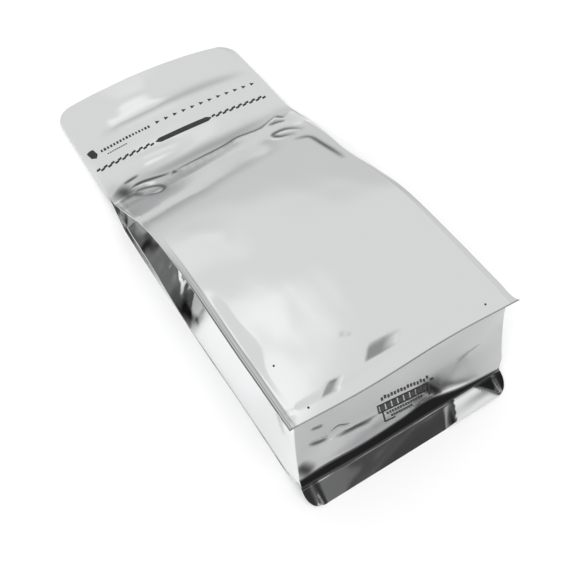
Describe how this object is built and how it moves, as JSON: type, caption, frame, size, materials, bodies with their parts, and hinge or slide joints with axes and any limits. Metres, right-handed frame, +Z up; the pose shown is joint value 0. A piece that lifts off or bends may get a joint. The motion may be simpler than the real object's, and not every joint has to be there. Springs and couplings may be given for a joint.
{
  "type": "flat-bottom bag",
  "caption": "Shut flat-bottom pouch of shiny metallised film, lying on its back, with side gussets, narrow edge seals and a flat top flap.",
  "frame": {"origin": "middle of the bounding box on the floor plane, under the bag as it lies on its back", "axes": "+Y along the bag from its flat bottom to the top edge of its flap, +Z up through the front panel, +X across to the right as seen with the flap at the top"},
  "size_m": [0.1196, 0.28, 0.06],
  "materials": {
    "metallised_film": "mirror-bright metallised film"
  },
  "bodies": {
    "root": {"foil_bag": "metallised_film"}
  },
  "joints": []
}
